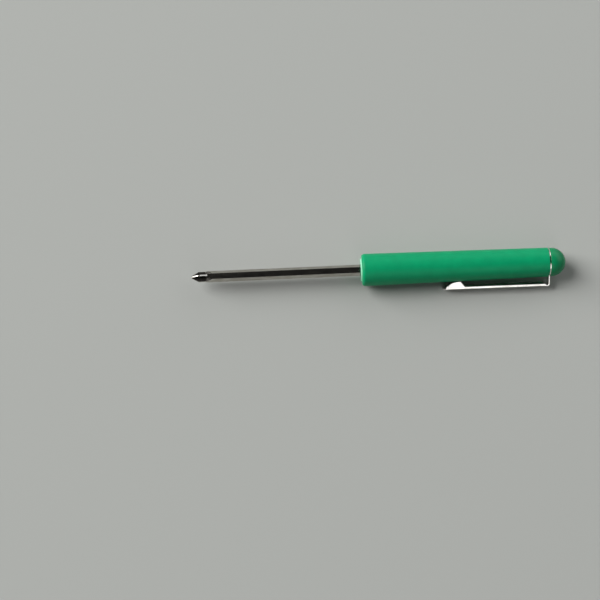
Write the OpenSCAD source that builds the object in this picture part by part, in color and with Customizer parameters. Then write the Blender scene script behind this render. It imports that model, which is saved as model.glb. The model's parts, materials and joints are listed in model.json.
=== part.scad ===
// Pocket screwdriver: a reversible hexagonal blade in a slim round handle, with a
// sheet-metal pocket clip whose ring is held between the handle and a domed end cap.
// It lies along X, working tip at -X and cap at +X, rolled until the clip's lower
// corner rests on the surface at Z = 0. The origin is under the middle of its box.

/* [Handle] */
// Length of the barrel, from its front face to the clip's ring
barrel_l = 76.6; // [60:0.2:100]
// Diameter of the barrel just behind its rounded front edge
barrel_front_d = 13.3; // [12:0.1:14.5]
// Diameter of the barrel where it meets the clip's ring
barrel_back_d = 11.9; // [11:0.1:13.5]
// Radius of the barrel's rounded front edge
front_edge_r = 1.3; // [0.4:0.1:1.5]
// Radius of the barrel's rounded rear edge
back_edge_r = 0.3; // [0.1:0.1:0.6]
// Diameter of the raised boss round the socket's mouth
boss_d = 9.4; // [8:0.1:9.6]
// Height of the raised boss over the front face
boss_h = 0.5; // [0.2:0.1:1]
// Radius of the boss's rounded edge
boss_edge_r = 0.2; // [0.05:0.05:0.2]

/* [Blade] */
// Size of the hexagonal bar across its flats
blade_af = 4; // [3.5:0.1:5]
// Length of blade that stands out of the handle
blade_out = 69; // [40:1:90]
// Length of blade that is held inside the handle
blade_in = 36; // [25:1:50]
// Roll of the bar about its axis, 0 with one flat facing straight up
blade_turn = 9; // [0:1:59]

/* [Phillips tip] */
// Diameter of the blunt nose
nose_d = 1.1; // [0.8:0.1:1.4]
// Angle between the pointed end's flank and the axis
nose_angle = 30; // [22:1:40]
// Length of the four flutes, from the nose to where they run out
flute_l = 8.2; // [7.6:0.2:12]
// Length of a flute's straight part, before it curves out
flute_straight_l = 5.5; // [2:0.5:6]
// Distance from the axis to the root of a flute's straight part
flute_root = 0.36; // [0.32:0.02:0.6]
// Angle between the two walls of a flute
flute_angle = 92; // [80:1:100]
// Roll of the wings against the flats of the bar
wing_turn = -14; // [-45:1:45]

/* [Slotted tip] */
// Length of the tapered tip
wedge_l = 8.4; // [6:0.2:12]
// Thickness of the tip at its working edge
wedge_edge_t = 0.8; // [0.5:0.05:1.2]
// Thickness of the tip at its shoulder
wedge_root_t = 2.1; // [1.6:0.1:2.6]
// Length of the sloping shoulder behind the tip
shoulder_l = 1.1; // [0.5:0.1:2]

/* [Socket] */
// Clearance between each flat of the bar and the socket
socket_clear = 0.08; // [0.05:0.01:0.1]
// Free space behind the inner end of the blade
socket_spare = 1; // [0.5:0.1:3]
// How far the countersink at the socket's mouth reaches past its corners
mouth_l = 0.4; // [0.2:0.1:0.6]

/* [Clip] */
// Thickness of the sheet
sheet_t = 0.5; // [0.4:0.05:0.7]
// Width of the spring arm
clip_w = 4.2; // [4:0.1:5.5]
// Length of the clip, from the back of its ring to the end of its arm
clip_l = 44; // [36:0.5:52]
// Gap between the barrel and the arm, at the arm's root
clip_gap = 3.2; // [2.6:0.05:3.6]
// Lean of the arm towards the barrel
arm_lean = 0.3; // [0:0.1:0.6]
// Radius inside the bend between the ring's tab and the arm
bend_r = 0.5; // [0.3:0.05:0.8]
// Radius of the two rounded corners at the end of the arm
corner_r = 1.2; // [0.8:0.1:1.6]
// Height above the sheet of the two low flanges that stiffen the arm
flange_h = 0.5; // [0.3:0.05:0.8]
// Distance from the arm's root to where the flanges start
flange_setback = 0.4; // [0.2:0.1:2]
// Length of the two ears, in which the flanges end, that press on the barrel
ear_l = 7.9; // [6:0.1:10]
// Distance from the end of the arm to the ears
ear_setback = 1.2; // [1.2:0.1:3]
// Length of the ears' steep rear slope
ear_back_l = 1.9; // [1.2:0.1:2.6]
// Clearance between the ears and the barrel, with the clip at rest
ear_clear = 0.12; // [0.05:0.01:0.3]
// Radius inside the fold of the flanges and ears
fold_r = 0.15; // [0.1:0.05:0.25]
// Radius outside the fold, which is pressed sharp
fold_out_r = 0.3; // [0.2:0.05:0.5]
// Hairline gap where the flexing arm meets the fixed bend
flex_gap = 0.04; // [0.02:0.01:0.08]

/* [End cap] */
// How far the clip's ring lies inside the barrel's rear edge, all round
ring_inset = 0.3; // [0:0.05:0.6]
// How far the cap's rim lies inside the barrel's rear edge, all round
cap_inset = 0.1; // [0:0.05:0.5]
// Height of the straight rim under the dome
rim_h = 0.8; // [0.3:0.1:1.5]
// Radius of the rim's rounded lower edge
rim_edge_r = 0.2; // [0.05:0.05:0.2]
// Diameter of the stud that holds the cap in the handle
stud_d = 6; // [4:0.5:7]
// Length of the stud, through the ring and into the handle
stud_l = 9; // [6:0.5:14]
// Length of the chamfer at the end of the stud
stud_chamfer = 0.6; // [0.3:0.1:1]
// Clearance round the stud
stud_clear = 0.05; // [0.02:0.01:0.1]

/* [Hidden] */
$fn = 96;
// Overrun of a cut past the face that it opens
overrun = 0.5;

// Radii of the turned forms
barrel_front_r = barrel_front_d / 2;
barrel_back_r = barrel_back_d / 2;
ring_r = barrel_back_r - ring_inset;
cap_r = barrel_back_r - cap_inset;
stud_r = stud_d / 2;
blade_corner_r = blade_af / 2 / cos(30);
socket_corner_r = blade_corner_r + socket_clear / cos(30);

// Places along the axis, measured from the barrel's front face
boss_x = -boss_h;
tip_x = boss_x - blade_out;
blade_end_x = boss_x + blade_in;
socket_end_x = blade_end_x + socket_spare;
cap_x = barrel_l + sheet_t;
end_x = cap_x + rim_h + cap_r;
stud_end_x = cap_x - stud_l;

// Radius of the barrel at a place along the axis
function barrel_r(x) =
    barrel_front_r + (barrel_back_r - barrel_front_r) * (x - front_edge_r) / (barrel_l - front_edge_r);

// The arm starts where the bend ends, and leans in towards its free end
arm_out_r = barrel_back_r + clip_gap + sheet_t;
arm_x = barrel_l - bend_r;
arm_l = arm_x - flex_gap - (cap_x - clip_l);
bend_out_r = bend_r + sheet_t;

// The crest of the ears stops just short of the barrel
crest_along = arm_l - ear_setback - ear_l + ear_back_l;
crest_side = clip_w / 2 - sheet_t;
crest_r = sqrt(pow(barrel_r(arm_x - crest_along), 2) - pow(crest_side, 2)) + ear_clear;
ear_h = arm_out_r - sheet_t - crest_along * tan(arm_lean) - crest_r;
slope_l = ear_l - ear_back_l;

// The handle lies on its front, and the clip's lower corner touches the same surface
corner_reach = sqrt(pow(arm_out_r, 2) + pow(clip_w / 2, 2));
clip_roll = acos(barrel_front_r / corner_reach) + atan(clip_w / 2 / arm_out_r);
side_low = arm_out_r * sin(clip_roll) + clip_w / 2 * cos(clip_roll);
place = [-(tip_x + end_x) / 2, (side_low - barrel_front_r) / 2, barrel_front_r];

// Turns a shape built along Z so that it lies along X
module along_x() {
    rotate([0, 90, 0])
        children();
}

// Revolves an outline drawn as radius and distance along the axis
module turned() {
    along_x()
        rotate_extrude()
            children();
}

// Half outline of a round bar with a rounded edge at its start, as radius and length
module rounded_bar(radius, length, edge) {
    translate([0, edge])
        square([radius, length - edge]);
    square([radius - edge, length]);
    translate([radius - edge, edge])
        circle(edge);
}

// Hexagonal bar along X with one flat facing up, rolled with the blade
module hex_bar(corner, start, length) {
    rotate([blade_turn, 0, 0])
        translate([start, 0, 0])
            along_x()
                rotate(30)
                    cylinder(r = corner, h = length, $fn = 6);
}

// Outline of the tapered barrel, with a rounded edge at each end
module barrel_outline() {
    intersection() {
        rounded_bar(barrel_front_r, barrel_l, front_edge_r);
        square([barrel_front_r, front_edge_r]);
    }
    polygon([
        [0, front_edge_r],
        [barrel_front_r, front_edge_r],
        [barrel_r(barrel_l - back_edge_r), barrel_l - back_edge_r],
        [0, barrel_l - back_edge_r]
    ]);
    translate([0, barrel_l])
        mirror([0, 1])
            intersection() {
                rounded_bar(barrel_back_r, barrel_l, back_edge_r);
                square([barrel_back_r, back_edge_r]);
            }
}

// Moulded handle: barrel and boss, hexagonal socket in front, stud's bore behind
module handle() {
    color([0.04, 0.55, 0.34])
        translate(place)
            difference() {
                union() {
                    turned()
                        barrel_outline();
                    turned()
                        translate([0, boss_x])
                            rounded_bar(boss_d / 2, boss_h + front_edge_r, boss_edge_r);
                }
                hex_bar(socket_corner_r, boss_x - overrun, socket_end_x - boss_x + overrun);
                socket_mouth();
                translate([stud_end_x - socket_spare, 0, 0])
                    along_x()
                        cylinder(r = stud_r + stud_clear, h = stud_l + socket_spare + overrun);
            }
}

// Countersink that opens the socket's mouth past its corners
module socket_mouth() {
    cone_r = socket_corner_r + mouth_l + overrun;
    translate([boss_x - overrun, 0, 0])
        along_x()
            cylinder(r1 = cone_r, r2 = 0, h = cone_r);
}

// Reversible blade: one bar with a Phillips tip outside and a slotted tip inside
module blade() {
    color([0.72, 0.71, 0.69])
        translate(place)
            difference() {
                intersection() {
                    hex_bar(blade_corner_r, tip_x, blade_end_x - tip_x);
                    turned()
                        translate([0, tip_x])
                            pointed_outline();
                }
                rotate([blade_turn + wing_turn, 0, 0])
                    for (quarter = [45 : 90 : 315])
                        rotate([quarter, 0, 0])
                            flute_cutter();
                rotate([blade_turn, 0, 0])
                    for (face = [0, 1])
                        mirror([0, 0, face])
                            wedge_cutter();
            }
}

// Half outline of a bar that comes to a blunt point
module pointed_outline() {
    bar_r = blade_corner_r + overrun;
    point_l = (bar_r - nose_d / 2) / tan(nose_angle);
    polygon([
        [0, 0],
        [nose_d / 2, 0],
        [bar_r, point_l],
        [bar_r, blade_end_x - tip_x],
        [0, blade_end_x - tip_x]
    ]);
}

// One flute: straight from the nose, then curved out as the grinding wheel leaves it
module flute_cutter() {
    depth = blade_corner_r - flute_root;
    run_out_l = flute_l - flute_straight_l;
    wheel_r = (pow(run_out_l, 2) + pow(depth, 2)) / (2 * depth);
    translate([tip_x - overrun, 0, flute_root])
        along_x()
            linear_extrude(flute_straight_l + overrun)
                flute_section(2 * depth);
    translate([tip_x + flute_straight_l, 0, flute_root + wheel_r])
        rotate([90, 0, 0])
            rotate_extrude()
                translate([wheel_r, 0])
                    flute_section(wheel_r);
}

// V section of a flute, with its root at zero
module flute_section(height) {
    half_w = height * tan(flute_angle / 2);
    polygon([
        [0, 0],
        [-height, half_w],
        [-height, -half_w]
    ]);
}

// Block above one face of the slotted tip, with the sloping shoulder behind it
module wedge_cutter() {
    start_x = blade_end_x - wedge_l - shoulder_l;
    rotate([90, 0, 0])
        linear_extrude(blade_af * 2, center = true)
            polygon([
                [start_x, blade_af / 2],
                [start_x + shoulder_l, wedge_root_t / 2],
                [blade_end_x, wedge_edge_t / 2],
                [blade_end_x + overrun, wedge_edge_t / 2],
                [blade_end_x + overrun, blade_af],
                [start_x, blade_af]
            ]);
}

// Rolls a clip that is drawn along X with Y pointing out from the axis
module clip_frame() {
    translate(place)
        rotate([-90 - clip_roll, 0, 0])
            children();
}

// Ring under the cap, with the tab that stands up and bends towards the arm
module clip_ring() {
    color([0.8, 0.8, 0.79])
        clip_frame()
            difference() {
                union() {
                    translate([barrel_l, 0, 0])
                        along_x()
                            cylinder(r = ring_r, h = sheet_t);
                    linear_extrude(clip_w, center = true)
                        tab_outline();
                }
                translate([barrel_l - overrun, 0, 0])
                    along_x()
                        cylinder(r = stud_r + stud_clear, h = sheet_t + overrun * 2);
            }
}

// Side view of the tab and its bend
module tab_outline() {
    bend_start = arm_out_r - bend_out_r;
    translate([barrel_l, 0])
        square([sheet_t, bend_start]);
    translate([arm_x, bend_start])
        intersection() {
            difference() {
                circle(bend_out_r);
                circle(bend_r);
            }
            square(bend_out_r);
        }
}

// Spring arm: a strip whose edges fold up into low flanges that end in two high ears
module clip_arm() {
    color([0.8, 0.8, 0.79])
        clip_frame()
            translate([arm_x - flex_gap, arm_out_r, 0])
                rotate(arm_lean)
                    union() {
                        difference() {
                            rotate([90, 0, 0])
                                linear_extrude(sheet_t)
                                    strip_plan();
                            fold_waste();
                        }
                        intersection() {
                            linear_extrude(clip_w, center = true)
                                flange_outline();
                            along_arm()
                                fold_section();
                        }
                    }
}

// Runs a cross-section the whole length of the arm
module along_arm() {
    translate([-arm_l, 0, 0])
        along_x()
            linear_extrude(arm_l)
                children();
}

// Plan of the strip, with its root at zero and two rounded corners at its free end
module strip_plan() {
    translate([-arm_l + corner_r, -clip_w / 2])
        square([arm_l - corner_r, clip_w]);
    translate([-arm_l, -clip_w / 2 + corner_r])
        square([arm_l, clip_w - 2 * corner_r]);
    for (side = [-1, 1])
        translate([-arm_l + corner_r, side * (clip_w / 2 - corner_r)])
            circle(corner_r);
}

// Corners that the strip loses where its edges fold up
module fold_waste() {
    fold_l = arm_l - ear_setback - flange_setback;
    difference() {
        translate([ear_setback - arm_l, -sheet_t - overrun, -clip_w / 2 - overrun])
            cube([fold_l, sheet_t + overrun * 2, clip_w + overrun * 2]);
        along_arm()
            trough(clip_w, fold_out_r, 0);
    }
}

// Side view of ears and flanges: round front slope, crest, steep rear slope, low flange
module flange_outline() {
    front_x = ear_setback - arm_l;
    flange_y = -sheet_t - flange_h;
    steps = 12;
    polygon(concat(
        [for (step = [0 : steps])
            let (angle = 90 * step / steps)
                [front_x + slope_l * (1 - cos(angle)), -(sheet_t + ear_h) * sin(angle)]],
        [
            [front_x + ear_l, flange_y],
            [-flange_setback - flange_h, flange_y],
            [-flange_setback, -sheet_t],
            [-flange_setback, 0]
        ]
    ));
}

// Cross-section of the folded strip: a trough with rounded lower corners
module fold_section() {
    difference() {
        trough(clip_w, fold_out_r, 0);
        trough(clip_w - 2 * sheet_t, fold_r, sheet_t);
    }
}

// Filled trough, open side far from the sheet's outer face, which lies at zero
module trough(width, corner, floor) {
    depth = sheet_t + ear_h + overrun;
    translate([0, -floor]) {
        translate([-width / 2, -depth])
            square([width, depth - corner]);
        translate([-width / 2 + corner, -corner])
            square([width - 2 * corner, corner]);
        for (side = [-1, 1])
            translate([side * (width / 2 - corner), -corner])
                circle(corner);
    }
}

// Domed cap, with the stud that passes through the clip's ring into the handle
module end_cap() {
    color([0.04, 0.52, 0.33])
        translate(place)
            turned()
                cap_outline();
}

// Half outline of the cap and its stud
module cap_outline() {
    translate([0, cap_x]) {
        intersection() {
            rounded_bar(cap_r, rim_h + cap_r, rim_edge_r);
            square([cap_r, rim_h]);
        }
        translate([0, rim_h])
            intersection() {
                circle(cap_r);
                square(cap_r);
            }
    }
    polygon([
        [0, stud_end_x],
        [stud_r - stud_chamfer, stud_end_x],
        [stud_r, stud_end_x + stud_chamfer],
        [stud_r, cap_x + rim_h],
        [0, cap_x + rim_h]
    ]);
}

handle();
blade();
clip_ring();
clip_arm();
end_cap();
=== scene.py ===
"""Looks of the pocket screwdriver: its plastic, plating and clip, on a pale studio floor."""

import json
import math

import bmesh
import bpy
from mathutils import Matrix, Vector


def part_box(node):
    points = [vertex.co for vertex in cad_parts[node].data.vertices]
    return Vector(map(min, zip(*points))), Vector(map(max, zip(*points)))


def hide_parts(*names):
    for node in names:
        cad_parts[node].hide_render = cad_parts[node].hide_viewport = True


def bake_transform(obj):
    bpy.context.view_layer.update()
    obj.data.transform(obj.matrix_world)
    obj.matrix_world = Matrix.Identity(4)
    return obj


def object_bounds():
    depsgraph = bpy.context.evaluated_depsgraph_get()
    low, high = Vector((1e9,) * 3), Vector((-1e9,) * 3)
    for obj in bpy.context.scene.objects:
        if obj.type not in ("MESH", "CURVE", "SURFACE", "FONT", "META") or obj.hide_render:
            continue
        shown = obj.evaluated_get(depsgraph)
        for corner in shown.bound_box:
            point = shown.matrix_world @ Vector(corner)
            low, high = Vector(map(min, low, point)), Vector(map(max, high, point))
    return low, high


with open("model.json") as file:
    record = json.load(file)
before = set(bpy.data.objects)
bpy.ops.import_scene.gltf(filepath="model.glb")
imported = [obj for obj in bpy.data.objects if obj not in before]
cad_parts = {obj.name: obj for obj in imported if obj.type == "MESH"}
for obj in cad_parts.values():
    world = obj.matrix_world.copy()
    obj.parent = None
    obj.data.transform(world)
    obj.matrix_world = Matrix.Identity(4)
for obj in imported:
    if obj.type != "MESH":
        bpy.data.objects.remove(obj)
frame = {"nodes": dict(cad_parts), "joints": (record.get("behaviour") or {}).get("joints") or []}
cad_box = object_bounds()

MM = 0.001

# The photograph's frame, and where the driver's two ends lie in it, in its pixels
PHOTO_SIDE = 600
TIP_PIXEL = (192.0, 277.5)
CAP_PIXEL = (565.3, 261.3)

# Camera: angle above the horizon, focal length in the photograph's pixels, sensor in millimetres
CAMERA_ELEVATION = math.radians(77)
FOCAL_PIXELS = 1450
SENSOR_WIDTH = 36

# Camera: search for its heading, and its nearest and furthest sight in metres
HEADING_LIMIT = math.radians(10)
HEADING_STEPS = 40
NEAREST_SIGHT = 0.01
FURTHEST_SIGHT = 50

# Clip and barrel, in millimetres, as they are built
SHEET = 0.5
CLIP_WIDTH = 4.2
CLIP_LENGTH = 44
CLIP_GAP = 3.2
BARREL_LENGTH = 76.6
BARREL_BACK_RADIUS = 5.95
BARREL_FRONT_RADIUS = 6.65
BARREL_FRONT_EDGE = 1.3
BOSS_HEIGHT = 0.5
RING_RADIUS = 5.65
RING_BORE_RADIUS = 3.05
ARM_LEAN = math.radians(0.3)
BEND_RADIUS = 0.5
ARM_CORNER = 1.2
FLANGE_HEIGHT = 0.5
FLANGE_SETBACK = 0.4
EAR_LENGTH = 7.9
EAR_SETBACK = 1.2
EAR_BACK_LENGTH = 1.9
EAR_CLEARANCE = 0.12
FOLD_RADIUS = 0.15
FOLD_OUT_RADIUS = 0.3
SHEARED_EDGE = 0.07

# Most that the fold and a sheared edge take of a flange's height, where it starts
FOLD_SHARE = 0.6
EDGE_SHARE = 0.2

# Ring of the clip: sides of its circle, and the hair by which it is thinner than the tab
RING_SIDES = 96
RING_HAIR = 0.004

# Steps of the clip's curves and slopes
FOLD_STEPS = 8
EDGE_STEPS = 3
FILLET_STEPS = 6
TAB_STEPS = 4
BEND_STEPS = 12
FLANGE_START_STEPS = 4
FLANGE_STEPS = 16
REAR_STEPS = 8
FRONT_STEPS = 32
CORNER_STEPS = 10

# Reach of the clip's merged points, in millimetres
MERGE_REACH = 1e-5

# Least angle of the clip's hard edges
HARD_ANGLE = math.radians(20)

# Width of a soft step between two finishes, in millimetres or in a face's direction
SOFT_STEP = 0.1


def axis_point(x):
    """Point of the screwdriver's axis at x, which the round cap gives."""
    low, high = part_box("end_cap")
    return Vector((x, (low.y + high.y) / 2, (low.z + high.z) / 2))


# Nodes of a material


def new_material(name):
    """A node material with a fresh shader. Returns the material, its node tree and the shader."""
    made = bpy.data.materials.new(name)
    made.use_nodes = True
    return made, made.node_tree, made.node_tree.nodes["Principled BSDF"]


def set_inputs(node, **values):
    """Sets sockets by name, with an underscore for each space."""
    for name, value in values.items():
        node.inputs[name.replace("_", " ")].default_value = value


def millimetres(tree, stretch=(1, 1, 1)):
    """Object coordinates in millimetres, each axis divided by its stretch."""
    coordinates = tree.nodes.new("ShaderNodeTexCoord")
    mapping = tree.nodes.new("ShaderNodeMapping")
    mapping.inputs["Scale"].default_value = [1 / (MM * s) for s in stretch]
    tree.links.new(coordinates.outputs["Object"], mapping.inputs["Vector"])
    return mapping.outputs["Vector"]


def noise(tree, vector, scale, detail=3, roughness=0.5):
    """Noise of about `scale` lumps to the unit of vector."""
    node = tree.nodes.new("ShaderNodeTexNoise")
    set_inputs(node, Scale=scale, Detail=detail, Roughness=roughness)
    tree.links.new(vector, node.inputs["Vector"])
    return node.outputs["Fac"]


def spread(tree, value, low, high, start=0.3, stop=0.7):
    """Spreads value from start to stop over low to high."""
    node = tree.nodes.new("ShaderNodeMapRange")
    set_inputs(node, From_Min=start, From_Max=stop, To_Min=low, To_Max=high)
    tree.links.new(value, node.inputs["Value"])
    return node.outputs["Result"]


def step_up(tree, value, edge):
    """Nought where value is under edge and one over it, with a soft step."""
    return spread(tree, value, 0, 1, edge - SOFT_STEP / 2, edge + SOFT_STEP / 2)


def step_down(tree, value, edge):
    """One where value is under edge and nought over it, with a soft step."""
    return spread(tree, value, 1, 0, edge - SOFT_STEP / 2, edge + SOFT_STEP / 2)


def calculated(tree, operation, first, second):
    """Value that an operation makes of the values first and second."""
    node = tree.nodes.new("ShaderNodeMath")
    node.operation = operation
    tree.links.new(first, node.inputs[0])
    tree.links.new(second, node.inputs[1])
    return node.outputs["Value"]


def both(tree, first, second):
    """Mask where first and second hold."""
    return calculated(tree, "MULTIPLY", first, second)


def either(tree, first, second):
    """Mask where first or second holds."""
    return calculated(tree, "MAXIMUM", first, second)


def zone(tree, x, start, stop):
    """One where x is between start and stop and nought outside them."""
    return both(tree, step_up(tree, x, start), step_down(tree, x, stop))


def vector_node(tree, operation, vector, constant=(0, 0, 0)):
    """Node that does an operation on a vector and a constant one."""
    node = tree.nodes.new("ShaderNodeVectorMath")
    node.operation = operation
    node.inputs[1].default_value = constant
    tree.links.new(vector, node.inputs[0])
    return node


def vector_length(tree, vector):
    """Length of vector."""
    return vector_node(tree, "LENGTH", vector).outputs["Value"]


def component(tree, vector, axis):
    """Part of vector along X, Y or Z."""
    split = tree.nodes.new("ShaderNodeSeparateXYZ")
    tree.links.new(vector, split.inputs["Vector"])
    return split.outputs[axis]


def along_x(tree):
    """Place along the driver, in millimetres."""
    return component(tree, millimetres(tree), "X")


def off_axis(tree):
    """Vector from the driver's axis to each point, in millimetres."""
    offset = vector_node(tree, "SUBTRACT", millimetres(tree), axis_point(0) / MM)
    return vector_node(tree, "MULTIPLY", offset.outputs["Vector"], (0, 1, 1)).outputs["Vector"]


def from_axis(tree):
    """Distance from the driver's axis, in millimetres."""
    return vector_length(tree, off_axis(tree))


def face_direction(tree):
    """Direction in which each face points."""
    return tree.nodes.new("ShaderNodeTexCoord").outputs["Normal"]


def blend_values(tree, factor, first, second):
    """Value that goes from the socket first to the number second with factor."""
    node = tree.nodes.new("ShaderNodeMix")
    tree.links.new(factor, node.inputs["Factor"])
    tree.links.new(first, node.inputs["A"])
    node.inputs["B"].default_value = second
    return node.outputs["Result"]


def mixed_colour(tree, factor, first, second):
    """Colour that goes from first to second with factor."""
    node = tree.nodes.new("ShaderNodeMix")
    node.data_type = "RGBA"
    first_socket, second_socket = [s for s in node.inputs if s.type == "RGBA"][:2]
    for socket, colour in ((first_socket, first), (second_socket, second)):
        if isinstance(colour, bpy.types.NodeSocket):
            tree.links.new(colour, socket)
        else:
            socket.default_value = (*colour, 1)
    tree.links.new(factor, node.inputs["Factor"])
    return [s for s in node.outputs if s.type == "RGBA"][0]


def bump(tree, height, distance, below=None):
    """Bumps of a height from 0 to 1 times distance, on top of those below."""
    node = tree.nodes.new("ShaderNodeBump")
    set_inputs(node, Distance=distance)
    tree.links.new(height, node.inputs["Height"])
    if below is not None:
        tree.links.new(below, node.inputs["Normal"])
    return node.outputs["Normal"]


# Materials

# Lumps of each noise to the millimetre, and how far it is drawn out along the driver
MOTTLING_LUMPS = 0.25
FLOW_LUMPS = 1.2
FLOW_STRETCH = 14
GRAIN_LUMPS = 7
LINE_LUMPS = 6
LINE_STRETCH = 20
STAIN_LUMPS = 0.7
STAIN_STRETCH = 3
TOOTH_LUMPS = 1.5

# Stains of the plate: noise at which they start and are full, and how they change its roughness
STAIN_START = 0.35
STAIN_STOP = 0.6
STAIN_DULLER = 0.06
STAIN_GLOSSIER = 0.02

# Plastic: its gloss varies a little, and the front boss is polished, with a pale rim that is a painted
# highlight
PLASTIC_IOR = 1.49
PLASTIC_SPECULAR = 0.2
GLOSS_CHANGE = 0.04
BOSS_ROUGHNESS = 0.03
BOSS_RIM_PAINTED_HIGHLIGHT = (0.42, 0.85, 0.62)
BOSS_RIM_RADIUS = 4.3

# Phillips tip: dull, with painted shade, in its flutes, and rougher, with a painted highlight, on the upper
# wing's land, in millimetres from its point
FLUTE_PAINTED_SHADE = (0.028, 0.026, 0.024)
GROUND_ROUGHNESS = 0.45
RUN_OUT_START = 5
RUN_OUT_STOP = 8.4
WING_PAINTED_HIGHLIGHT = (0.9, 0.89, 0.87)
WING_LAND_ROUGHNESS = 0.5
WING_LAND_START = 3.2
WING_LAND_STOP = 6.3
WING_LAND_HEIGHT = 1.75
CONE_NOSE = 0.45
CONE_RADIUS = 1.88
CONE_LENGTH = 2.45

# Floor: the least tone of its tooth, and how far out, in millimetres, it passes into the backdrop
PAPER = (0.44, 0.452, 0.435)
PAPER_ROUGHNESS = 0.9
PAPER_SPECULAR = 0.2
TOOTH_TONE = 0.985
FADE_START = 350
FADE_STOP = 1300


def moulded_plastic(name, light, dark, roughness, grain, polished_to=None):
    """Green plastic: soft mottling, a moulded grain and flow lines, glossy in front of polished_to, with a
    pale rim painted there as a highlight.
    """
    made, tree, shader = new_material(name)
    links = tree.links
    whole = millimetres(tree)
    mottling = noise(tree, whole, MOTTLING_LUMPS)
    flow = noise(tree, millimetres(tree, (FLOW_STRETCH, 1, 1)), FLOW_LUMPS)
    fine = noise(tree, whole, GRAIN_LUMPS, detail=4)
    colour = mixed_colour(tree, spread(tree, mottling, 0, 1), dark, light)
    gloss = spread(tree, flow, roughness - GLOSS_CHANGE, roughness + GLOSS_CHANGE)
    if polished_to is not None:
        polished = step_down(tree, along_x(tree), polished_to)
        # The boss's pale rim colour is a painted highlight.
        painted_rim_highlight = both(tree, polished, step_up(tree, from_axis(tree), BOSS_RIM_RADIUS))
        colour = mixed_colour(tree, painted_rim_highlight, colour, BOSS_RIM_PAINTED_HIGHLIGHT)
        gloss = blend_values(tree, polished, gloss, BOSS_ROUGHNESS)
        flow = blend_values(tree, polished, flow, 0)
        fine = blend_values(tree, polished, fine, 0)
    links.new(colour, shader.inputs["Base Color"])
    links.new(gloss, shader.inputs["Roughness"])
    grains = bump(tree, fine, grain)
    links.new(bump(tree, flow, 2 * grain, grains), shader.inputs["Normal"])
    set_inputs(shader, IOR=PLASTIC_IOR, Specular_IOR_Level=PLASTIC_SPECULAR)
    return made


def flute_mask(tree, point):
    """One in the Phillips tip's flutes and their run-outs, and nought on the cone and the bar."""
    x = along_x(tree)
    cone = spread(tree, x, CONE_NOSE, CONE_RADIUS, point, point + CONE_LENGTH)
    inside = step_down(tree, calculated(tree, "SUBTRACT", from_axis(tree), cone), 0)
    sloping = step_down(tree, component(tree, face_direction(tree), "X"), -SOFT_STEP)
    run_out = both(tree, step_up(tree, x, point + RUN_OUT_START), sloping)
    return both(tree, either(tree, inside, run_out), step_down(tree, x, point + RUN_OUT_STOP))


def wing_highlight_mask(tree, point):
    """One on the land of the upper wing, where a highlight is painted, and nought elsewhere."""
    wing = zone(tree, along_x(tree), point + WING_LAND_START, point + WING_LAND_STOP)
    return both(tree, wing, step_up(tree, component(tree, off_axis(tree), "Z"), WING_LAND_HEIGHT))


def plated_steel(name, light, dark, roughness, grain, point=None):
    """Nickel plate: lines drawn along X and faint stains, and behind a Phillips tip's point a painted
    highlight on the upper wing and painted shade in the flutes.
    """
    made, tree, shader = new_material(name)
    links = tree.links
    lines = noise(tree, millimetres(tree, (LINE_STRETCH, 1, 1)), LINE_LUMPS)
    stains = noise(tree, millimetres(tree, (STAIN_STRETCH, 1, 1)), STAIN_LUMPS, detail=5, roughness=0.55)
    colour = mixed_colour(tree, spread(tree, stains, 0, 1, STAIN_START, STAIN_STOP), dark, light)
    gloss = spread(tree, stains, roughness + STAIN_DULLER, roughness - STAIN_GLOSSIER)
    if point is not None:
        painted_wing_highlight, flutes = wing_highlight_mask(tree, point), flute_mask(tree, point)
        # A pale colour on the upper wing's land is a painted highlight, and a near-black one in the flutes
        # and their run-outs is painted shade.
        colour = mixed_colour(tree, painted_wing_highlight, colour, WING_PAINTED_HIGHLIGHT)
        colour = mixed_colour(tree, flutes, colour, FLUTE_PAINTED_SHADE)
        gloss = blend_values(tree, painted_wing_highlight, gloss, WING_LAND_ROUGHNESS)
        gloss = blend_values(tree, flutes, gloss, GROUND_ROUGHNESS)
    links.new(colour, shader.inputs["Base Color"])
    links.new(gloss, shader.inputs["Roughness"])
    links.new(bump(tree, lines, grain), shader.inputs["Normal"])
    set_inputs(shader, Metallic=1)
    return made


def paper_floor(name):
    """Pale matt surface with a hint of tooth, which passes into the plain backdrop further out."""
    made, tree, shader = new_material(name)
    links = tree.links
    tooth = noise(tree, millimetres(tree), TOOTH_LUMPS, detail=4)
    darker = [c * TOOTH_TONE for c in PAPER]
    links.new(mixed_colour(tree, tooth, darker, PAPER), shader.inputs["Base Color"])
    set_inputs(shader, Roughness=PAPER_ROUGHNESS, Specular_IOR_Level=PAPER_SPECULAR)
    far = spread(tree, vector_length(tree, millimetres(tree)), 0, 1, FADE_START, FADE_STOP)
    plain = tree.nodes.new("ShaderNodeEmission")
    set_inputs(plain, Color=(*PAPER, 1))
    passing = tree.nodes.new("ShaderNodeMixShader")
    links.new(both(tree, far, shows_background(tree)), passing.inputs["Fac"])
    links.new(shader.outputs["BSDF"], passing.inputs[1])
    links.new(plain.outputs["Emission"], passing.inputs[2])
    links.new(passing.outputs["Shader"], tree.nodes["Material Output"].inputs["Surface"])
    return made


# Clip: one sheet, swept along its path from the ring to the free end


def ear_places():
    """Distances along the arm, from its root, of the ears' rear foot, crest and front foot."""
    crest = arm_length() - EAR_SETBACK - EAR_LENGTH + EAR_BACK_LENGTH
    return crest - EAR_BACK_LENGTH, crest, crest + EAR_LENGTH - EAR_BACK_LENGTH


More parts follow.
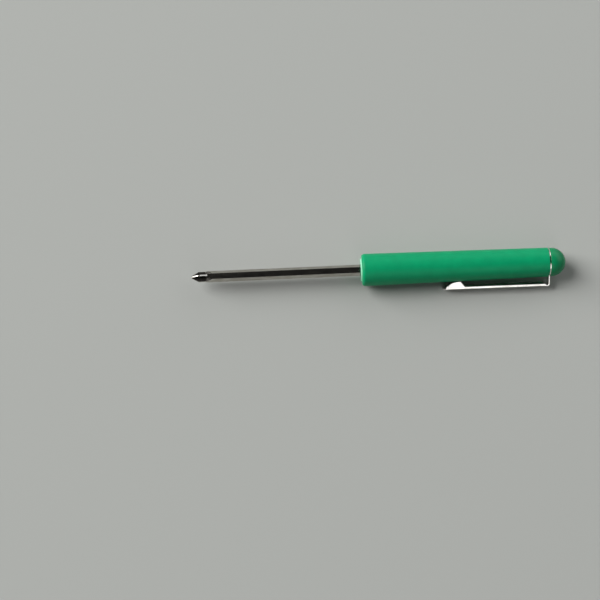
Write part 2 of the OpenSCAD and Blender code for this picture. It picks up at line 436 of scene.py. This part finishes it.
def flange_height(distance):
    """Height of the folded edge over the sheet: low flange, steep slope, crest, round front slope."""
    rear_foot, crest, front_foot = ear_places()
    if distance <= FLANGE_SETBACK or distance >= front_foot:
        return 0
    if distance <= rear_foot:
        return min(distance - FLANGE_SETBACK, FLANGE_HEIGHT)
    if distance <= crest:
        rise = (distance - rear_foot) / EAR_BACK_LENGTH
        return FLANGE_HEIGHT + (ear_peak() - FLANGE_HEIGHT) * rise
    share = (distance - crest) / (front_foot - crest)
    return max(0, (SHEET + ear_peak()) * math.sqrt(1 - share ** 2) - SHEET)


def arm_length():
    """Length of the arm, from the end of its bend to its free end."""
    return CLIP_LENGTH - SHEET - BEND_RADIUS


def ear_peak():
    """Height that the ears' crest needs to stop just short of the barrel."""
    _, crest, _ = ear_places()
    x = BARREL_LENGTH - BEND_RADIUS - crest
    share = (x - BARREL_FRONT_EDGE) / (BARREL_LENGTH - BARREL_FRONT_EDGE)
    barrel = BARREL_FRONT_RADIUS + (BARREL_BACK_RADIUS - BARREL_FRONT_RADIUS) * share
    side = CLIP_WIDTH / 2 - SHEET
    crest_radius = math.sqrt(barrel ** 2 - side ** 2) + EAR_CLEARANCE
    return BARREL_BACK_RADIUS + CLIP_GAP - crest * math.tan(ARM_LEAN) - crest_radius


def arc(centre, radius, start, stop, steps):
    """Points of an arc, with angles in degrees."""
    angles = [math.radians(start + (stop - start) * i / steps) for i in range(steps + 1)]
    return [(centre[0] + radius * math.cos(a), centre[1] + radius * math.sin(a)) for a in angles]


def half_section(width, height):
    """Right half of a cross-section, as (across, inward) from the outer face's middle to the inner's."""
    half = width / 2
    folded = min(height / FLANGE_HEIGHT, 1)
    outer = SHEARED_EDGE + (FOLD_OUT_RADIUS - SHEARED_EDGE) * folded
    top = SHEET + height
    fillet = min(FOLD_RADIUS, height * FOLD_SHARE)
    inner_edge = min(SHEARED_EDGE, height * EDGE_SHARE)
    inner = half - SHEET
    return [
        (0, 0),
        *arc((half - outer, outer), outer, -90, 0, FOLD_STEPS),
        *arc((half - SHEARED_EDGE, top - SHEARED_EDGE), SHEARED_EDGE, 0, 90, EDGE_STEPS),
        *arc((inner + inner_edge, top - inner_edge), inner_edge, 90, 180, EDGE_STEPS),
        *arc((inner - fillet, SHEET + fillet), fillet, 0, -90, FILLET_STEPS),
        (0, SHEET),
    ]


def full_section(width, height):
    """Closed loop of a cross-section, round both halves."""
    right = half_section(width, height)
    left = [(-across, inward) for across, inward in reversed(right[1:-1])]
    return right + left


def steps_to(start, stop, count):
    """Places from start to stop in count equal steps, without start."""
    return [start + (stop - start) * i / count for i in range(1, count + 1)]


def sweep_stations():
    """Stations of the sheet's path: outer-face point, inward direction, width and flange height."""
    bend_outer = BEND_RADIUS + SHEET
    outer = BARREL_BACK_RADIUS + CLIP_GAP + SHEET
    back = BARREL_LENGTH + SHEET
    centre = Vector((BARREL_LENGTH - BEND_RADIUS, outer - bend_outer))
    stations = []
    tab_root = RING_RADIUS - SHEET
    for i in range(TAB_STEPS):
        y = tab_root + (centre.y - tab_root) * i / TAB_STEPS
        stations.append((Vector((back, y)), Vector((-1, 0)), CLIP_WIDTH, 0))
    turn = math.pi / 2 + ARM_LEAN
    for i in range(BEND_STEPS + 1):
        angle = turn * i / BEND_STEPS
        out = Vector((math.cos(angle), math.sin(angle)))
        stations.append((centre + out * bend_outer, -out, CLIP_WIDTH, 0))
    along = Vector((-math.cos(ARM_LEAN), -math.sin(ARM_LEAN)))
    inward = Vector((math.sin(ARM_LEAN), -math.cos(ARM_LEAN)))
    root = stations[-1][0]
    for distance, width, height in arm_stations():
        stations.append((root + along * distance, inward, width, height))
    return stations


def arm_stations():
    """Distance along the arm, width and flange height at each station of the arm."""
    rear_foot, crest, front_foot = ear_places()
    flange_start = FLANGE_SETBACK + FLANGE_HEIGHT
    distances = [FLANGE_SETBACK]
    distances += steps_to(FLANGE_SETBACK, flange_start, FLANGE_START_STEPS)
    distances += steps_to(flange_start, rear_foot, FLANGE_STEPS)
    distances += steps_to(rear_foot, crest, REAR_STEPS)
    turns = steps_to(0, math.pi / 2, FRONT_STEPS)
    distances += [crest + (front_foot - crest) * math.sin(turn) for turn in turns]
    stations = [(distance, CLIP_WIDTH, flange_height(distance)) for distance in distances]
    stations[-1] = (front_foot + SHEARED_EDGE / 4, CLIP_WIDTH, 0)
    for angle in steps_to(0, math.pi / 2, CORNER_STEPS):
        distance = front_foot + ARM_CORNER * math.sin(angle)
        width = CLIP_WIDTH - 2 * ARM_CORNER * (1 - math.cos(angle))
        stations.append((distance, width, 0))
    return stations


def swept_sheet():
    """The clip's tab, bend and arm as one closed mesh, in the clip's own frame in millimetres."""
    mesh = bmesh.new()
    loops = []
    for point, inward, width, height in sweep_stations():
        loop = []
        for across, depth in full_section(width, height):
            place = point + inward * depth
            loop.append(mesh.verts.new((place.x, place.y, across)))
        loops.append(loop)
    count = len(loops[0])
    for first, second in zip(loops, loops[1:]):
        for i in range(count):
            j = (i + 1) % count
            mesh.faces.new((first[i], first[j], second[j], second[i]))
    mesh.faces.new(loops[0])
    mesh.faces.new(loops[-1])
    bmesh.ops.remove_doubles(mesh, verts=mesh.verts, dist=MERGE_REACH)
    bmesh.ops.dissolve_degenerate(mesh, edges=mesh.edges, dist=MERGE_REACH)
    bmesh.ops.recalc_face_normals(mesh, faces=mesh.faces)
    return mesh


def ring_mesh():
    """The clip's ring as a closed mesh, a hair thinner than the tab that it carries."""
    edge = SHEARED_EDGE
    low, high = BARREL_LENGTH + RING_HAIR, BARREL_LENGTH + SHEET - RING_HAIR
    outline = [
        (RING_BORE_RADIUS, low), (RING_RADIUS - edge, low), (RING_RADIUS, low + edge),
        (RING_RADIUS, high - edge), (RING_RADIUS - edge, high), (RING_BORE_RADIUS, high),
    ]
    mesh = bmesh.new()
    rounds = []
    for i in range(RING_SIDES):
        turn = 2 * math.pi * i / RING_SIDES
        rounds.append([mesh.verts.new((x, r * math.cos(turn), r * math.sin(turn))) for r, x in outline])
    for i in range(RING_SIDES):
        here, there = rounds[i], rounds[(i + 1) % RING_SIDES]
        for k in range(len(outline)):
            n = (k + 1) % len(outline)
            mesh.faces.new((here[k], here[n], there[n], there[k]))
    bmesh.ops.recalc_face_normals(mesh, faces=mesh.faces)
    return mesh


def clip_matrix():
    """Places the clip's own frame: X along the axis, Y out from it towards the arm."""
    hinge = next(joint for joint in frame["joints"] if joint["name"] == "clip_flex")
    across = Vector(hinge["axis"]).normalized()
    along = Vector((1, 0, 0))
    out = along.cross(across)
    turn = Matrix((along, out, along.cross(out))).transposed().to_4x4()
    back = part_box("clip_ring")[1].x - (BARREL_LENGTH + SHEET) * MM
    return Matrix.Translation(axis_point(back)) @ turn @ Matrix.Scale(MM, 4)


def object_from(mesh, name):
    """Turns a bmesh into an object of the scene."""
    data = bpy.data.meshes.new(name)
    mesh.to_mesh(data)
    mesh.free()
    made = bpy.data.objects.new(name, data)
    bpy.context.scene.collection.objects.link(made)
    return made


def apply_modifiers(piece):
    """Turns what the modifiers make into the piece's own mesh."""
    evaluated = piece.evaluated_get(bpy.context.evaluated_depsgraph_get())
    data = bpy.data.meshes.new_from_object(evaluated)
    piece.modifiers.clear()
    piece.data = data


def make_clip(material):
    """One stamped clip in place of the two nodes that its flexing splits it into."""
    clip = object_from(swept_sheet(), "pocket_clip")
    ring = object_from(ring_mesh(), "ring_blank")
    union = clip.modifiers.new("ring", "BOOLEAN")
    union.operation = "UNION"
    union.solver = "EXACT"
    union.object = ring
    apply_modifiers(clip)
    bpy.data.objects.remove(ring)
    clip.data.transform(clip_matrix())
    clip.data.shade_smooth()
    clip.data.set_sharp_from_angle(angle=HARD_ANGLE)
    flat_faces = clip.modifiers.new("flat_faces", "WEIGHTED_NORMAL")
    flat_faces.keep_sharp = True
    clip.data.materials.clear()
    clip.data.materials.append(material)
    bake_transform(clip)
    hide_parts("clip_ring", "clip_arm")


# Nodes of the frame that keep their shape

# Eased edges: reach of the weld, in millimetres, segments, and the least angle of an edge that is eased
WELD_REACH = 0.0001
EASED_SEGMENTS = 2
EASED_ANGLE = math.radians(24)


def finish_node(name, material, edge=0):
    """Gives a node of the frame its material and, where edge isn't 0, finely rounded edges."""
    node = frame["nodes"][name]
    node.data.materials.clear()
    node.data.materials.append(material)
    if edge:
        weld = node.modifiers.new("weld", "WELD")
        weld.merge_threshold = WELD_REACH * MM
        rounding = node.modifiers.new("edges", "BEVEL")
        rounding.width = edge
        rounding.segments = EASED_SEGMENTS
        rounding.limit_method = "ANGLE"
        rounding.angle_limit = EASED_ANGLE
        rounding.harden_normals = True


# Stage

# Reach of the floor each way, in metres
FLOOR_REACH = 4

# Light of the room: low down and overhead, and the heights at which the ceiling and the backdrop end
HORIZON_LIGHT = (0.04, 0.04, 0.04)
CEILING_LIGHT = (0.004, 0.004, 0.004)
CEILING_HEIGHT = 0.8
BACKDROP_TOP = (0.45, 0.7)


def make_floor(material):
    """Wide floor under the driver."""
    mesh = bmesh.new()
    bmesh.ops.create_grid(mesh, x_segments=1, y_segments=1, size=FLOOR_REACH)
    floor = object_from(mesh, "floor")
    floor.data.materials.append(material)


def softbox(name, direction, distance, angles, radiance, colour):
    """Lamp that looks angles wide and tall from the driver."""
    data = bpy.data.lights.new(name, "AREA")
    data.shape = "RECTANGLE"
    data.size, data.size_y = [2 * distance * math.tan(math.radians(angle) / 2) for angle in angles]
    data.color = colour
    data.energy = radiance * data.size * data.size_y * math.pi
    lamp = bpy.data.objects.new(name, data)
    direction = Vector(direction).normalized()
    lamp.location = direction * distance
    lamp.rotation_euler = direction.to_track_quat("Z", "Y").to_euler()
    bpy.context.scene.collection.objects.link(lamp)


def height_ramp(tree, height, low, high, start, stop):
    """Colour that goes from low to high as height goes from start to stop."""
    node = tree.nodes.new("ShaderNodeValToRGB")
    for end, colour, place in zip(node.color_ramp.elements, (low, high), (start, stop)):
        end.color = (*colour, 1)
        end.position = place
    tree.links.new(height, node.inputs["Fac"])
    return node.outputs["Color"]


def shows_background(tree):
    """One for what the camera sees, itself or in metal or glass, and nought for the light on things."""
    path = tree.nodes.new("ShaderNodeLightPath")
    mirrored = either(tree, path.outputs["Is Glossy Ray"], path.outputs["Is Transmission Ray"])
    return either(tree, path.outputs["Is Camera Ray"], mirrored)


def make_world():
    """Room that gives little light: a pale backdrop round the floor and a dark ceiling."""
    world = bpy.data.worlds.new("room")
    bpy.context.scene.world = world
    world.use_nodes = True
    tree = world.node_tree
    height = component(tree, tree.nodes.new("ShaderNodeTexCoord").outputs["Generated"], "Z")
    lighting = height_ramp(tree, height, HORIZON_LIGHT, CEILING_LIGHT, 0, CEILING_HEIGHT)
    shown = height_ramp(tree, height, PAPER, CEILING_LIGHT, *BACKDROP_TOP)
    seen = mixed_colour(tree, shows_background(tree), lighting, shown)
    tree.links.new(seen, tree.nodes["Background"].inputs["Color"])


# Camera


def camera_turn(heading):
    """Camera rotation for a heading about the vertical."""
    pitch = math.pi / 2 - CAMERA_ELEVATION
    return Matrix.Rotation(heading, 3, "Z") @ Matrix.Rotation(pitch, 3, "X")


def pixel_ray(turn, pixel):
    """Direction in which the camera sees a pixel, with a depth of one."""
    middle = PHOTO_SIDE / 2
    return turn @ Vector(((pixel[0] - middle) / FOCAL_PIXELS, (middle - pixel[1]) / FOCAL_PIXELS, -1))


def make_camera():
    """Camera that sees the tip and the cap's end at their pixels in the photograph."""
    tip = axis_point(cad_box[0].x)
    length = cad_box[1].x - cad_box[0].x
    low, high = -HEADING_LIMIT, HEADING_LIMIT
    for _ in range(HEADING_STEPS):
        heading = (low + high) / 2
        turn = camera_turn(heading)
        near, far = pixel_ray(turn, TIP_PIXEL), pixel_ray(turn, CAP_PIXEL)
        far = far * (near.z / far.z)
        if far.y > near.y:
            high = heading
        else:
            low = heading
    depth = length / (far.x - near.x)
    data = bpy.data.cameras.new("camera")
    data.sensor_width = SENSOR_WIDTH
    data.lens = SENSOR_WIDTH * FOCAL_PIXELS / PHOTO_SIDE
    data.clip_start, data.clip_end = NEAREST_SIGHT, FURTHEST_SIGHT
    camera = bpy.data.objects.new("camera", data)
    camera.matrix_world = Matrix.Translation(tip - near * depth) @ turn.to_4x4()
    bpy.context.scene.collection.objects.link(camera)
    bpy.context.scene.camera = camera


bpy.context.scene.view_settings.view_transform = "Standard"
make_camera()
make_floor(paper_floor("floor_paper"))
make_world()

# Lamps: direction, metres from the driver, degrees wide and tall, radiance and colour
softbox("key_softbox", (-0.755, 0.33, 0.63), 4, (36, 46), 8.1, (1, 1, 0.985))
softbox("front_softbox", (0.13, -0.74, 0.66), 1.5, (16, 40), 1.5, (1, 1, 1))
softbox("right_softbox", (0.74, 0.55, 0.5), 1.5, (70, 46), 0.93, (1, 1, 1))
softbox("back_softbox", (0.06, 0.866, 0.5), 1.5, (26, 36), 0.5, (1, 1, 1))

handle_green = moulded_plastic(
    "handle_green", light=(0.001, 0.35, 0.145), dark=(0.001, 0.31, 0.128), roughness=0.42, grain=0.003 * MM,
    polished_to=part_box("handle")[0].x / MM + BOSS_HEIGHT)
cap_green = moulded_plastic(
    "cap_green", light=(0.005, 0.27, 0.105), dark=(0.005, 0.25, 0.095), roughness=0.2, grain=0.001 * MM)
blade_nickel = plated_steel(
    "blade_nickel", light=(0.53, 0.51, 0.47), dark=(0.4, 0.375, 0.33), roughness=0.18, grain=0.001 * MM,
    point=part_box("blade")[0].x / MM)
clip_nickel = plated_steel(
    "clip_nickel", light=(0.8, 0.79, 0.76), dark=(0.7, 0.68, 0.64), roughness=0.16, grain=0.001 * MM)

finish_node("handle", handle_green)
finish_node("end_cap", cap_green)
finish_node("blade", blade_nickel, edge=0.14 * MM)
make_clip(clip_nickel)
